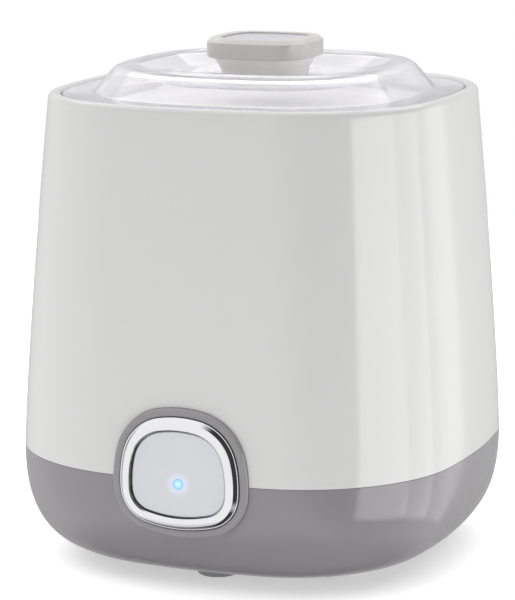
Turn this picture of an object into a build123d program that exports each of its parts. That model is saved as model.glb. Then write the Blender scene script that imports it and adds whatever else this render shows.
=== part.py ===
from build123d import *
from math import cos, hypot, pi, sin, sqrt
import os

# A one-litre yogurt maker: a warm well in a two-part plastic housing, a lidded pot that
# stands in the well, and a clear domed lid with a knob. Millimetres, +Z up. The origin is on
# the table, below the middle of the housing. The control panel faces -Y.

# Housing
FOOT_HEIGHT = 3.0
SEAM_Z = 42.5               # where the white shell meets the grey base
RIM_Z = 173.0               # top of the white shell
BODY_HALF = 84.0            # half width across the flats at the seam
RIM_HALF = 74.4             # half width across the flats at the rim
BOTTOM_HALF = 53.0          # half width of the flat under the base
SEAM_GAP = 0.1
SHELL_WALL = 2.6
BASE_WALL = 2.5
SIDE_BOW = 2.908            # radius of a bowed side, for a half width of 1
CORNER_ROUND = 0.699        # radius of a corner, for a half width of 1

# Well, heater and pot
LEDGE_Z = 168.0             # ledge inside the shell that carries the liner
LEDGE_HALF = 67.0
MOUTH_HALF = 70.2           # opening inside the shell's rim
LINER_TOP_HALF = 62.5
LINER_FOOT_HALF = 59.0
LINER_WALL = 2.0
LINER_FLANGE = 2.0
WELL_FLOOR_Z = 54.0
PLATE_R = 43.6              # raised face of the heating plate
PLATE_TOP_Z = 54.5
PLATE_SHEET = 1.5
PLATE_FLANGE_R = 50.0
POT_BOTTOM_Z = 54.8
POT_TOP_Z = 163.3
POT_FOOT_HALF = 50.5
POT_MOUTH_HALF = 55.2
POT_WALL = 2.0
POT_FLANGE_HALF = 57.0
POT_LID_TOP_Z = 167.2
POT_LID_HALF = 59.2

# Clear lid and knob
LID_SEAT_Z = 170.3
LID_FLANGE_TOP_Z = 172.6
LID_FLANGE_HALF = 69.6
DOME_HALF = 59.0
DOME_TOP_Z = 182.5
DISH_FLOOR_Z = 177.5
LID_WALL = 2.6
KNOB_TOP_Z = 191.9
KNOB_BAND_Z = 184.6         # lower edge of the knob's band
KNOB_HALF = 19.4
KNOB_BOW = 4.0
KNOB_CORNER = 0.5
NECK_TOP_HALF = 17.3
NECK_FOOT_HALF = 14.4
KNOB_BEVEL = 1.6
CAP_HALF = 14.6
CAP_SINK = 0.7

# Control panel: its outlines are one curve, grown or shrunk
PANEL_SIDE_R = 38.0
PANEL_SIDE_Z = 42.0         # height at which the panel is widest
PANEL_HALF = 18.05
PANEL_TOP_R = 36.0
PANEL_TOP_Z = 61.4
PANEL_BOTTOM_R = 45.0
PANEL_BOTTOM_Z = 29.85
PANEL_TOP_ROUND = 13.0
PANEL_BOTTOM_ROUND = 8.5
FRAME_GROW = 7.6
RING_GROW = 4.65
FRAME_FRONT_Y = -84.2
FRAME_EDGE_R = 1.2
RING_FRONT_Y = -86.5
BUTTON_FRONT_Y = -85.3
BUTTON_TRAVEL = 1.2
LIGHT_Z = 42.1
LIGHT_R = 2.0
SWITCH_Z = 52.5
FRAME_FLOOR_Y = -82.4       # face that the chrome ring lies on
FRAME_BACK_Y = -76.0
CARRIER_BACK_Y = -74.4
SWITCH_BOARD_Y = -72.4      # front face of the switch board
BOARD_THICK = 1.6

# Base fittings
CLOSING_SCREW = 39.5        # x and y of the four screws that close the housing
CLOSING_JOINT_Z = 30.0      # where the base's bosses meet the liner's posts
FOOT_REACH = 48.0
FOOT_R = 7.5
GLAND_Z = 32.0
GLAND_FRONT_Y = 86.5        # outer end of the cord gland
GLAND_BORE_R = 3.1
GLAND_FLANGE_R = 7.2
GLAND_SEAT_Y = 82.7
BOARD_Z = 13.0              # underside of the control board
BOARD_HALF_X = 32.0
BOARD_Y = (-22.0, 38.0)
BOARD_SCREWS = [(-27, -17), (27, -17), (-27, 33), (27, 33)]


# ---- outlines and small helpers ----

def rounded_square(half, z, bow=SIDE_BOW, corner=CORNER_ROUND):
    """Outline of a square with bowed sides and round corners: eight tangent arcs."""
    side_r = bow * half
    corner_r = corner * half
    reach = side_r - half
    middle = (sqrt(2 * (side_r - corner_r) ** 2 - reach**2) - reach) / 2
    stretch = side_r / (side_r - corner_r)
    across = middle * stretch
    along = (middle + reach) * stretch - reach
    tip = middle + corner_r / sqrt(2)
    side = [(-across, along), (0, half), (across, along)]
    round_corner = [(across, along), (tip, tip), (along, across)]
    arcs = []
    for turn in range(4):
        for points in (side, round_corner):
            placed = [Vector(x, y, z).rotate(Axis.Z, -90 * turn) for x, y in points]
            arcs.append(Edge.make_three_point_arc(*placed))
    return Wire(arcs)


def stack(stations, **shape):
    """Solid through rounded squares, given as (half width, height) from the bottom up."""
    return Solid.make_loft([rounded_square(half, z, **shape) for half, z in stations])


def straight(half, low, high, **shape):
    """Upright block of rounded-square plan."""
    return stack([(half, low), (half, high)], **shape)


def inset(stations, wall):
    """The same profile moved inwards by the wall, square to the surface."""
    inner = []
    last = len(stations) - 1
    for i, (half, z) in enumerate(stations):
        half_0, z_0 = stations[max(i - 1, 0)]
        half_1, z_1 = stations[min(i + 1, last)]
        length = hypot(half_1 - half_0, z_1 - z_0)
        inner.append((half - wall * (z_1 - z_0) / length, z + wall * (half_1 - half_0) / length))
    return inner


def disc(radius, low, high, x=0, y=0):
    """Upright cylinder between two heights."""
    return Pos(x, y, (low + high) / 2) * Cylinder(radius, high - low)


def rod(radius, front, back, x=0, z=0):
    """Cylinder along Y between two depths."""
    return Pos(x, (front + back) / 2, z) * Rot(90, 0, 0) * Cylinder(radius, back - front)


def block(x, y, z):
    """Box between two limits on each axis."""
    size = [high - low for low, high in (x, y, z)]
    middle = [(high + low) / 2 for low, high in (x, y, z)]
    return Pos(*middle) * Box(*size)


def panel_plate(grow, front, back):
    """Plate with the panel's outline, between two depths."""
    sketch = Circle(PANEL_SIDE_R + grow)
    outline = Pos(PANEL_HALF - PANEL_SIDE_R, PANEL_SIDE_Z) * sketch
    outline &= Pos(PANEL_SIDE_R - PANEL_HALF, PANEL_SIDE_Z) * sketch
    outline &= Pos(0, PANEL_TOP_Z - PANEL_TOP_R) * Circle(PANEL_TOP_R + grow)
    outline &= Pos(0, PANEL_BOTTOM_Z + PANEL_BOTTOM_R) * Circle(PANEL_BOTTOM_R + grow)
    corners = outline.vertices().sort_by(Axis.Y)
    outline = fillet(corners[:2], PANEL_BOTTOM_ROUND + grow)
    outline = fillet(outline.vertices().sort_by(Axis.Y)[-2:], PANEL_TOP_ROUND + grow)
    return Pos(0, back, 0) * Rot(90, 0, 0) * extrude(outline, back - front)


def screw(head_r, head_z, shank_r, tip_z, x=0, y=0):
    """Pan-head screw that points up, with a cross recess in its head."""
    low, high = head_z
    slot = head_r * 1.1
    cross = Box(slot, slot * 0.28, 1.6) + Box(slot * 0.28, slot, 1.6)
    head = disc(head_r, low, high) - Pos(0, 0, low) * cross
    return Pos(x, y, 0) * (head + disc(shank_r, high, tip_z))


def wire_tube(points, radius, bends):
    """Insulated wire: straight runs joined by tangent arcs."""
    path = FilletPolyline(*points, radius=bends)
    section = Plane(origin=path @ 0, z_dir=path % 0) * Circle(radius)
    return sweep(section, path=path)


# ---- profiles of the housing ----

def shell_half(z):
    """Half width of the white shell at a height."""
    rise = (z - SEAM_Z) / (RIM_Z - SEAM_Z)
    return BODY_HALF - (BODY_HALF - RIM_HALF) * max(rise, 0) ** 1.236


def base_half(z):
    """Half width of the grey base at a height: a long soft curve under the seam."""
    root = 30.9
    rise = (z - FOOT_HEIGHT) / (SEAM_Z - FOOT_HEIGHT)
    return root + (BODY_HALF - root) * (1 - (1 - rise) ** 2.43) ** (1 / 4.85)


def shell_profile(low, high, steps=7):
    """Stations up the white shell."""
    heights = [low + (high - low) * i / steps for i in range(steps + 1)]
    return [(shell_half(z), z) for z in heights]


def base_profile():
    """Stations up the base, closer together where it turns under."""
    steps = 11
    heights = [FOOT_HEIGHT + (SEAM_Z - FOOT_HEIGHT) * (i / steps) ** 1.9 for i in range(1, steps)]
    rise = [(base_half(z), z) for z in heights]
    return [(BOTTOM_HALF, FOOT_HEIGHT)] + rise + [(BODY_HALF, SEAM_Z)]


# ---- housing ----

def outer_shell():
    """White shell, open below, with a thick rim and the ledge for the liner."""
    fillet_r = 2.2
    body = stack(shell_profile(SEAM_Z + SEAM_GAP, RIM_Z))
    body = fillet(body.faces().sort_by(Axis.Z)[-1].edges(), fillet_r)
    under_rim = LEDGE_Z - 2
    hollow = inset(shell_profile(SEAM_Z - 1, under_rim), SHELL_WALL)
    body -= stack(hollow)
    body -= straight(LEDGE_HALF, under_rim - 3, LEDGE_Z + 1)
    body -= straight(MOUTH_HALF, LEDGE_Z, RIM_Z + 1)
    return body - panel_plate(FRAME_GROW + 0.2, -95, -65)


def base_shell():
    """Grey tub: flat bottom, lip inside the shell, bosses, vents and holes."""
    outer = base_profile()
    inner = inset(outer, BASE_WALL)
    top_half, top_z = inner[-1]
    body = stack(outer) - stack(inner[:-1] + [(top_half, top_z + 1)])
    lip = BODY_HALF - SHELL_WALL - 0.3
    body += straight(lip, SEAM_Z, SEAM_Z + 4) - straight(lip - 1.8, SEAM_Z - 1, SEAM_Z + 5)
    step = straight(top_half + 0.5, SEAM_Z - 4, SEAM_Z) - straight(lip - 1.8, SEAM_Z - 5, SEAM_Z + 1)
    body += step
    floor_z = FOOT_HEIGHT + BASE_WALL
    for x, y in corners_at(CLOSING_SCREW):
        body += disc(5.5, FOOT_HEIGHT, CLOSING_JOINT_Z, x, y)
        body -= disc(4.0, FOOT_HEIGHT - 1, FOOT_HEIGHT + 5.2, x, y)
        body -= disc(2.0, FOOT_HEIGHT, CLOSING_JOINT_Z + 1, x, y)
    for x, y in BOARD_SCREWS:
        body += disc(3.0, floor_z - 1, BOARD_Z, x, y)
        body -= disc(1.05, floor_z + 1, BOARD_Z + 1, x, y)
    for x, y in foot_places():
        body -= disc(2.85, FOOT_HEIGHT - 1, floor_z + 2, x, y)
    for side in (-1, 1):
        for i in range(-2, 3):
            slot = Pos(i * 7, side * 24, FOOT_HEIGHT) * SlotOverall(20, 2.4, rotation=90)
            body -= extrude(slot, 4, both=True)
    body -= panel_plate(FRAME_GROW + 0.2, -95, -65)
    body -= rod(5.6, 70, 90, z=GLAND_Z)
    body -= rod(GLAND_FLANGE_R + 0.2, GLAND_SEAT_Y, 92, z=GLAND_Z)
    return body


def corners_at(reach):
    """The four corners of a square."""
    return [(x, y) for x in (-reach, reach) for y in (-reach, reach)]


def foot_places():
    """The four feet stand at the middle of each side."""
    return [(FOOT_REACH * round(cos(i * pi / 2)), FOOT_REACH * round(sin(i * pi / 2))) for i in range(4)]


def well_liner():
    """White well that hangs from the shell's ledge, with posts for the closing screws."""
    floor_under = WELL_FLOOR_Z - LINER_WALL
    body = stack([(LINER_FOOT_HALF, floor_under), (LINER_TOP_HALF, LEDGE_Z + 0.5)])
    body += straight(MOUTH_HALF - 0.2, LEDGE_Z, LEDGE_Z + LINER_FLANGE)
    inside_foot = LINER_FOOT_HALF - LINER_WALL
    body -= stack([(inside_foot, WELL_FLOOR_Z), (LINER_TOP_HALF - LINER_WALL, LEDGE_Z + 3)])
    body -= disc(PLATE_R + 0.9, floor_under - 1, WELL_FLOOR_Z + 1)
    for x, y in corners_at(CLOSING_SCREW):
        body += disc(4.3, CLOSING_JOINT_Z + 0.1, floor_under + 0.5, x, y)
        body -= disc(1.65, CLOSING_JOINT_Z - 1, floor_under - 4, x, y)
    return body


def closing_screws():
    """Four long screws that pull base, shell and liner together from below."""
    head = (FOOT_HEIGHT + 2.8, FOOT_HEIGHT + 5.2)
    return [screw(3.5, head, 1.6, 44, x, y) for x, y in corners_at(CLOSING_SCREW)]


def rubber_feet():
    """Four pads with a barbed peg pushed through the bottom."""
    pad = disc(FOOT_R, 0, FOOT_HEIGHT)
    pad = fillet(pad.edges().sort_by(Axis.Z)[0], 0.8)
    pad += disc(2.8, FOOT_HEIGHT, FOOT_HEIGHT + BASE_WALL + 0.3)
    pad += disc(3.6, FOOT_HEIGHT + BASE_WALL + 0.1, FOOT_HEIGHT + BASE_WALL + 1.6)
    return [Pos(x, y, 0) * pad for x, y in foot_places()]


def cord_gland():
    """Grommet for the mains cord in the back of the base."""
    body = rod(GLAND_FLANGE_R, GLAND_SEAT_Y, 85.2, z=GLAND_Z)
    body += rod(5.2, 85.2, GLAND_FRONT_Y, z=GLAND_Z)
    body += rod(5.4, 79.2, GLAND_SEAT_Y, z=GLAND_Z)
    body += rod(6.0, 77.0, 79.2, z=GLAND_Z)
    return body - rod(GLAND_BORE_R, 70, 90, z=GLAND_Z)


# ---- heater ----

def heating_plate():
    """Pressed aluminium plate: raised face, skirt, flange and three threaded bosses."""
    under = PLATE_TOP_Z - PLATE_SHEET
    flange_z = 49.7
    body = disc(PLATE_R, flange_z, PLATE_TOP_Z) + disc(PLATE_FLANGE_R, flange_z, flange_z + 1.5)
    body = fillet(body.edges().filter_by(GeomType.CIRCLE).sort_by(Axis.Z)[-1], 1.0)
    body -= disc(PLATE_R - 2.1, flange_z - 1, under)
    for x, y in clamp_screw_places():
        body += disc(3.0, under - 1.6, under, x, y)
        body -= disc(1.3, under - 3, under + 0.6, x, y)
    return body


def clamp_screw_places():
    """Three places round the thermostat."""
    reach = 13.0
    return [(reach * cos(2 * pi * i / 3), reach * sin(2 * pi * i / 3)) for i in range(3)]


def plate_seal():
    """Flat silicone ring between the plate's flange and the liner."""
    return disc(49.0, 51.2, WELL_FLOOR_Z - LINER_WALL) - disc(44.2, 50, 54)


def heater_element():
    """Flat resistance ring with two solder tabs."""
    body = disc(38.0, 51.4, 53.0) - disc(18.0, 50, 54)
    for side in (-1, 1):
        body += block((side * 6 - 1.5, side * 6 + 1.5), (26.0, 26.8), (45.0, 52.0))
    return body


def heater_clamp():
    """Steel disc that holds the heating ring against the plate."""
    body = disc(40.0, 50.2, 51.4) - disc(8.3, 49, 53)
    body -= block((-9, 9), (24.5, 28.5), (49, 53))
    for x, y in clamp_screw_places():
        body -= disc(1.6, 49, 53, x, y)
    return body


def clamp_screws():
    """Three screws for the steel disc."""
    return [screw(2.7, (48.4, 50.2), 1.25, 53.4, x, y) for x, y in clamp_screw_places()]


def thermostat():
    """Round bimetal thermostat: cap on the plate, moulded body, two blades."""
    body = disc(7.8, 51.6, 53.0) + disc(6.6, 42.5, 51.6)
    for side in (-1, 1):
        body += block((side * 3.5 - 0.4, side * 3.5 + 0.4), (-3, 3), (35.5, 42.5))
    return body


def fuse_axis(radius, length):
    """Cylinder along X on the fuse's axis."""
    return Pos(0, -26, 47.2) * Rot(0, 90, 0) * Cylinder(radius, length)


def thermal_fuse():
    """Small barrel with straight leads under the steel disc."""
    return fuse_axis(2.0, 11) + fuse_axis(0.5, 24)


def fuse_clip():
    """Spring strap round the fuse's barrel, with a foot on the steel disc."""
    half = 2.5
    foot = block((-half, half), (-35, -23.6), (49.5, 50.2))
    legs = block((-half, half), (-28.9, -28.1), (47.2, 50.2))
    legs += block((-half, half), (-23.9, -23.1), (47.2, 50.2))
    return fuse_axis(2.9, 2 * half) + foot + legs - fuse_axis(2.1, 8)


# ---- electronics in the base ----

def control_board():
    """Power board on four posts of the base."""
    body = block((-BOARD_HALF_X, BOARD_HALF_X), BOARD_Y, (BOARD_Z, BOARD_Z + BOARD_THICK))
    for x, y in BOARD_SCREWS:
        body -= disc(1.4, BOARD_Z - 1, BOARD_Z + 3, x, y)
    return body


def board_screws():
    """Four screws of the power board, heads up."""
    top = BOARD_Z + BOARD_THICK
    down = Pos(0, 0, top) * Rot(180, 0, 0)
    return [Pos(x, y, 0) * down * screw(2.4, (-1.8, 0), 1.0, 6.0) for x, y in BOARD_SCREWS]


def on_board(size, x, y, rounding=0.6):
    """Moulded component that stands on the power board."""
    wide, deep, tall = size
    body = Pos(x, y, BOARD_Z + BOARD_THICK + tall / 2) * Box(wide, deep, tall)
    return fillet(body.edges().filter_by(Axis.Z), rounding)


def transformer():
    """Small supply transformer: core and bobbin."""
    core = on_board((24, 9, 18), 14, 12, 0.4)
    bobbin = on_board((16, 18, 14), 14, 12, 1.5)
    return core + bobbin


def smoothing_capacitor():
    """Upright can capacitor."""
    top = BOARD_Z + BOARD_THICK
    can = disc(5.0, top, top + 13, 16, -10)
    return fillet(can.edges().sort_by(Axis.Z)[-1], 0.8)


def terminal_block():
    """Two-way screw terminal at the back edge of the power board."""
    body = on_board((24, 10, 12), 0, 31, 0.5)
    top = BOARD_Z + BOARD_THICK + 12
    for side in (-1, 1):
        body -= disc(2.2, top - 4, top + 1, side * 6, 31)
        body -= rod(2.0, 31, 40, x=side * 6, z=top - 8)
    return body


def heater_leads():
    """Two wires from the power board up to the heater's tabs."""
    leads = []
    for side in (-1, 1):
        x = side * 6
        points = [(x * 2.5, 24.5, 14.6), (x * 2.5, 24.5, 25), (x, 27.5, 34), (x, 27.9, 45)]
        leads.append(wire_tube(points, 1.1, [4.0, 4.0]))
    return leads


def signal_lead():
    """Sheathed lead from the switch board down to the power board."""
    top = BOARD_Z + BOARD_THICK
    back = SWITCH_BOARD_Y + BOARD_THICK
    points = [(8, back, 38), (8, -62, 38), (8, -54, 26), (8, -30, 25), (8, -16, 24), (8, -16, top)]
    return wire_tube(points, 1.5, [5.0, 6.0, 12.0, 5.0])


# ---- control panel ----

def panel_frame():
    """Grey bezel with a soft edge, set into the housing and held by its back flange."""
    body = panel_plate(FRAME_GROW, FRAME_FRONT_Y, FRAME_BACK_Y)
    body = fillet(body.faces().sort_by(Axis.Y)[0].edges(), FRAME_EDGE_R)
    body += panel_plate(FRAME_GROW + 2, FRAME_BACK_Y - 1.6, FRAME_BACK_Y)
    body -= panel_plate(RING_GROW + 0.1, -90, FRAME_FLOOR_Y)
    body -= panel_plate(1.6, -90, -70)
    floor_back = FRAME_FLOOR_Y + 2
    hollow = panel_plate(FRAME_GROW - 2.7, floor_back, -70)
    for x, z in carrier_screw_places():
        hollow -= rod(2.1, floor_back - 1, FRAME_BACK_Y, x, z)
    body -= hollow
    for x, z in carrier_screw_places():
        body -= rod(1.0, floor_back + 0.3, -70, x, z)
    return body


def carrier_screw_places():
    """Four places round the button, outside its opening."""
    out = 3.6
    sides = [(side * (PANEL_HALF + out), PANEL_SIDE_Z) for side in (-1, 1)]
    return sides + [(0, PANEL_TOP_Z + out), (0, PANEL_BOTTOM_Z - out)]


def chrome_ring():
    """Plated ring: thin lip, steep outer bevel, broad sloping face and a sharp inner edge."""
    face = [(RING_GROW, FRAME_FRONT_Y), (4.4, -84.4), (3.3, -85.9), (0.25, RING_FRONT_Y)]
    body = panel_plate(RING_GROW, FRAME_FRONT_Y, FRAME_FLOOR_Y)
    for (low_grow, low_y), (high_grow, high_y) in zip(face, face[1:]):
        low = panel_plate(low_grow, low_y - 0.01, low_y).faces().sort_by(Axis.Y)[-1]
        high = panel_plate(high_grow, high_y, high_y + 0.01).faces().sort_by(Axis.Y)[0]
        body += Solid.make_loft([low.outer_wire(), high.outer_wire()], ruled=True)
    return body - panel_plate(0, -90, -80)


def power_button():
    """Press plate with a back flange, two guide posts and the stem for the switch."""
    body = panel_plate(-0.4, BUTTON_FRONT_Y, -80.9)
    body = chamfer(body.faces().sort_by(Axis.Y)[0].edges(), 0.3)
    body += panel_plate(1.2, FRAME_FLOOR_Y + 0.3, -80.9)
    body -= panel_plate(-2.4, BUTTON_FRONT_Y + 1.8, -80)
    web = BUTTON_FRONT_Y + 1.5
    body += rod(2.4, web, -77.3, z=SWITCH_Z)
    body += rod(3.2, web, -81.5, z=LIGHT_Z)
    for x in (-12.5, 12.5):
        body += rod(1.8, web, -75.0, x, 40)
    return body - rod(LIGHT_R, -90, -70, z=LIGHT_Z)


def light_guide():
    """Clear rod that brings the lamp's light to the button's face."""
    return rod(LIGHT_R, BUTTON_FRONT_Y - 0.05, -79.5, z=LIGHT_Z)


def switch_carrier():
    """Bracket behind the panel: guide sleeves, openings and posts for the switch board."""
    body = panel_plate(FRAME_GROW, FRAME_BACK_Y, CARRIER_BACK_Y)
    for x in (-12.5, 12.5):
        body += rod(3.2, -79.0, CARRIER_BACK_Y, x, 40)
        body -= rod(1.86, -90, -70, x, 40)
    for x, z in switch_board_posts():
        body += rod(2.4, CARRIER_BACK_Y - 0.5, SWITCH_BOARD_Y, x, z)
        body -= rod(0.85, -74.8, -70, x, z)
    body -= block((-3.6, 3.6), (-80, -70), (SWITCH_Z - 3.6, SWITCH_Z + 3.6))
    body -= rod(2.6, -90, -70, z=LIGHT_Z)
    for x, z in carrier_screw_places():
        body -= rod(1.15, -90, -70, x, z)
    return body


def switch_board_posts():
    """Two posts on a diagonal."""
    return [(-12, 32.5), (12, 57.5)]


def carrier_screws():
    """Four screws that hold the carrier to the bezel, and two for the switch board."""
    small = screw(1.9, (-1.4, 0), 0.95, 4.0)
    forward = Rot(90, 0, 0)
    screws = [Pos(x, CARRIER_BACK_Y, z) * forward * small for x, z in carrier_screw_places()]
    back = SWITCH_BOARD_Y + BOARD_THICK
    finer = screw(1.7, (-1.2, 0), 0.8, 3.6)
    return screws + [Pos(x, back, z) * forward * finer for x, z in switch_board_posts()]


def switch_board():
    """Upright board behind the panel."""
    body = block((-16, 16), (SWITCH_BOARD_Y, SWITCH_BOARD_Y + BOARD_THICK), (29, 61))
    for x, z in switch_board_posts():
        body -= rod(0.95, -80, -60, x, z)
    return body


def tact_switch():
    """Square switch body with the bore its plunger slides in."""
    body = block((-3, 3), (-75.8, SWITCH_BOARD_Y), (SWITCH_Z - 3, SWITCH_Z + 3))
    return body - rod(1.76, -80, -72.7, z=SWITCH_Z)


def switch_plunger():
    """Round plunger of the switch."""
    return rod(1.7, -77.3, -74.0, z=SWITCH_Z)


def led_lamp():
    """Lamp on the switch board, just behind the light guide."""
    body = rod(1.5, -77.6, -73.4, z=LIGHT_Z)
    body = fillet(body.edges().filter_by(GeomType.CIRCLE).sort_by(Axis.Y)[0], 1.3)
    return body + rod(1.9, -73.4, SWITCH_BOARD_Y, z=LIGHT_Z)


# ---- pot ----

def pot_profile():
    """Outside of the pot from the foot up: a round heel, then a slight taper."""
    heel = 6.0
    rise = [(POT_FOOT_HALF - heel * (1 - sin(i * pi / 8)), POT_BOTTOM_Z + heel * (1 - cos(i * pi / 8)))
            for i in range(0, 4)]
    return rise + [(POT_FOOT_HALF + 0.2, POT_BOTTOM_Z + heel), (POT_MOUTH_HALF, POT_TOP_Z)]


def yogurt_pot():
    """Translucent pot with a rolled rim."""
    outer = pot_profile()
    mouth, top = outer[-1]
    heel, wall = outer[:-1], outer[-2:]
    body = stack(heel) + stack(wall)
    body += straight(POT_FLANGE_HALF, POT_TOP_Z - 2.5, POT_TOP_Z)
    inner_heel = [(half - POT_WALL, z + POT_WALL) for half, z in heel]
    body -= stack(inner_heel)
    body -= stack([inner_heel[-1], (mouth - POT_WALL, top + 1)])
    return body


def pot_lid():
    """Push-on lid of the pot: plate, skirt and a raised border."""
    under = POT_LID_TOP_Z - 2.0
    body = straight(POT_LID_HALF, 158.5, POT_LID_TOP_Z)
    body = fillet(body.faces().sort_by(Axis.Z)[-1].edges(), 1.0)
    body -= straight(POT_FLANGE_HALF + 0.4, 157, under)
    body -= straight(50.0, POT_LID_TOP_Z - 0.8, POT_LID_TOP_Z + 1)
    return body


def pot_lid_seal():
    """Silicone ring under the pot's lid."""
    low, high = POT_TOP_Z + 0.3, POT_LID_TOP_Z - 2.0
    return straight(56.4, low, high) - straight(52.4, low - 1, high + 1)


# ---- clear lid and knob ----

def dome_profile():
    """Outside of the dome: steep flank, round shoulder, nearly flat crest."""
    return [(DOME_HALF, LID_FLANGE_TOP_Z - 0.5), (57.4, 175.0), (55.5, 177.5), (53.2, 179.8),
            (51.0, 181.4), (48.4, 182.3), (45.0, DOME_TOP_Z)]


def dish_profile(wall=0):
    """Dish in the middle of the dome, where the knob stands, grown by the wall below it."""
    return [(36.0 + wall, DISH_FLOOR_Z - wall), (38.6 + wall, 179.2 - wall), (41.0 + wall, 181.0 - wall),
            (45.0 + wall, DOME_TOP_Z + 0.4 - wall)]


def dome_lid():
    """Clear lid: flange in the rim, hollow dome with a dish, hole for the knob's screw."""
    outer = dome_profile()
    body = stack(outer) + straight(LID_FLANGE_HALF, LID_SEAT_Z, LID_FLANGE_TOP_Z)
    body -= stack(dish_profile())
    hollow = stack([(DOME_HALF - 2.2, LID_SEAT_Z - 1)] + inset(outer, LID_WALL))
    hollow -= stack(dish_profile(LID_WALL) + [(52.0, DOME_TOP_Z + 0.5)])
    return body - hollow - disc(2.1, 165, 190)


def lid_knob():
    """Knob moulded in one: flared neck, band, bevel and a pocket for the cap."""
    shape = {"bow": KNOB_BOW, "corner": KNOB_CORNER}
    neck = [(NECK_FOOT_HALF, DISH_FLOOR_Z), (NECK_FOOT_HALF + 0.3, 179.8),
            (NECK_FOOT_HALF + 1.2, 182.3), (NECK_TOP_HALF, KNOB_BAND_Z)]
    body = stack(neck, **shape)
    band = straight(KNOB_HALF, KNOB_BAND_Z, KNOB_TOP_Z, **shape)
    band = chamfer(band.faces().sort_by(Axis.Z)[-1].edges(), KNOB_BEVEL)
    body += fillet(band.faces().sort_by(Axis.Z)[0].edges(), 0.6)
    body -= straight(CAP_HALF + 0.2, KNOB_TOP_Z - CAP_SINK - 1.6, KNOB_TOP_Z + 1, **shape)
    return body - disc(1.95, DISH_FLOOR_Z - 1, 187.0)


def knob_cap():
    """Inset plate in the top of the knob."""
    shape = {"bow": KNOB_BOW, "corner": KNOB_CORNER}
    top = KNOB_TOP_Z - CAP_SINK
    return straight(CAP_HALF, top - 1.6, top, **shape)


def knob_washer():
    """Soft washer between the screw's head and the lid."""
    under = DISH_FLOOR_Z - LID_WALL
    return disc(5.5, under - 0.6, under) - disc(2.1, 170, 178)


def knob_screw():
    """Screw up through the lid into the knob."""
    under = DISH_FLOOR_Z - LID_WALL - 0.6
    return screw(3.6, (under - 1.8, under), 1.9, 186.0)


# ---- one STEP file for each piece ----

PIECES = {
    "outer_shell": outer_shell,
    "base_shell": base_shell,
    "well_liner": well_liner,
    "closing_screws": closing_screws,
    "rubber_feet": rubber_feet,
    "cord_gland": cord_gland,
    "heating_plate": heating_plate,
    "plate_seal": plate_seal,
    "heater_element": heater_element,
    "heater_clamp": heater_clamp,
    "clamp_screws": clamp_screws,
    "thermostat": thermostat,
    "thermal_fuse": thermal_fuse,
    "fuse_clip": fuse_clip,
    "control_board": control_board,
    "board_screws": board_screws,
    "relay": lambda: on_board((19, 15.5, 15), -18, 15),
    "transformer": transformer,
    "filter_capacitor": lambda: on_board((18, 8, 13), -16, -6),
    "smoothing_capacitor": smoothing_capacitor,
    "terminal_block": terminal_block,
    "heater_leads": heater_leads,
    "signal_lead": signal_lead,
    "panel_frame": panel_frame,
    "chrome_ring": chrome_ring,
    "switch_carrier": switch_carrier,
    "carrier_screws": carrier_screws,
    "switch_board": switch_board,
    "tact_switch": tact_switch,
    "led_lamp": led_lamp,
    "power_button": power_button,
    "light_guide": light_guide,
    "switch_plunger": switch_plunger,
    "yogurt_pot": yogurt_pot,
    "pot_lid": pot_lid,
    "pot_lid_seal": pot_lid_seal,
    "dome_lid": dome_lid,
    "lid_knob": lid_knob,
    "knob_cap": knob_cap,
    "knob_washer": knob_washer,
    "knob_screw": knob_screw,
}

os.makedirs("parts", exist_ok=True)
for name, make in PIECES.items():
    made = make()
    solids = made if isinstance(made, list) else [made]
    group = [solid for piece in solids for solid in piece.solids()]
    shape = group[0] if len(group) == 1 else Compound(group)
    export_step(shape, f"parts/{name}.step")
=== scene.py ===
from math import atan2, cos, hypot, radians, sin, sqrt, tan

import bmesh
import bpy
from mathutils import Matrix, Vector


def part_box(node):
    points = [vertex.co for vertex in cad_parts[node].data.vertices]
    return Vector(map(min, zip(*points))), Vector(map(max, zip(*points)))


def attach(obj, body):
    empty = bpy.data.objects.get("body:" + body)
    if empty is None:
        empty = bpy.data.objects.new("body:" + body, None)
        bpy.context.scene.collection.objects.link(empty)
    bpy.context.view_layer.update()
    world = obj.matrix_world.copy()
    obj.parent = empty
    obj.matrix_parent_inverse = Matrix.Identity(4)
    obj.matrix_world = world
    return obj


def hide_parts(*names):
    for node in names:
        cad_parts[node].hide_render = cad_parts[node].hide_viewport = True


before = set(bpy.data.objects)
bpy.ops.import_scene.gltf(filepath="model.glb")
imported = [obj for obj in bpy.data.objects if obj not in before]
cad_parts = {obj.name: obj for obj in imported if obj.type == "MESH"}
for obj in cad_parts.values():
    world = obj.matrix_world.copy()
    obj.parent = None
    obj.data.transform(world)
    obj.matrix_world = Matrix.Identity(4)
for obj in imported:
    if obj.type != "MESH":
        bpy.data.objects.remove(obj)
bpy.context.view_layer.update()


# ---- Camera ----
# A long lens a metre away, to the right of the panel's axis and a little above the lid.
# It is aimed near the middle of the housing.
yaw, tilt = radians(21.2), radians(10.8)
distance = 1.050
to_right = Vector((cos(yaw), sin(yaw), 0))
to_camera = Vector((sin(yaw) * cos(tilt), -cos(yaw) * cos(tilt), sin(tilt)))
aim = to_right * -0.00295 + Vector((0, 0, 0.0927))
camera_data = bpy.data.cameras.new("camera")
camera_data.lens = 168.0
camera_data.sensor_width = 36.0
camera = bpy.data.objects.new("camera", camera_data)
camera.location = aim + to_camera * distance
camera.rotation_euler = (-to_camera).to_track_quat("-Z", "Y").to_euler()
bpy.context.scene.collection.objects.link(camera)
bpy.context.scene.camera = camera


# ---- Studio ----
# A pale plain floor in a white surround that is dark to the right, with wide soft light from
# overhead. Three tall boxes, side by side on the right, draw the broad upright band of light on
# the housing's corner.
bpy.context.scene.view_settings.view_transform = "Standard"


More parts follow.
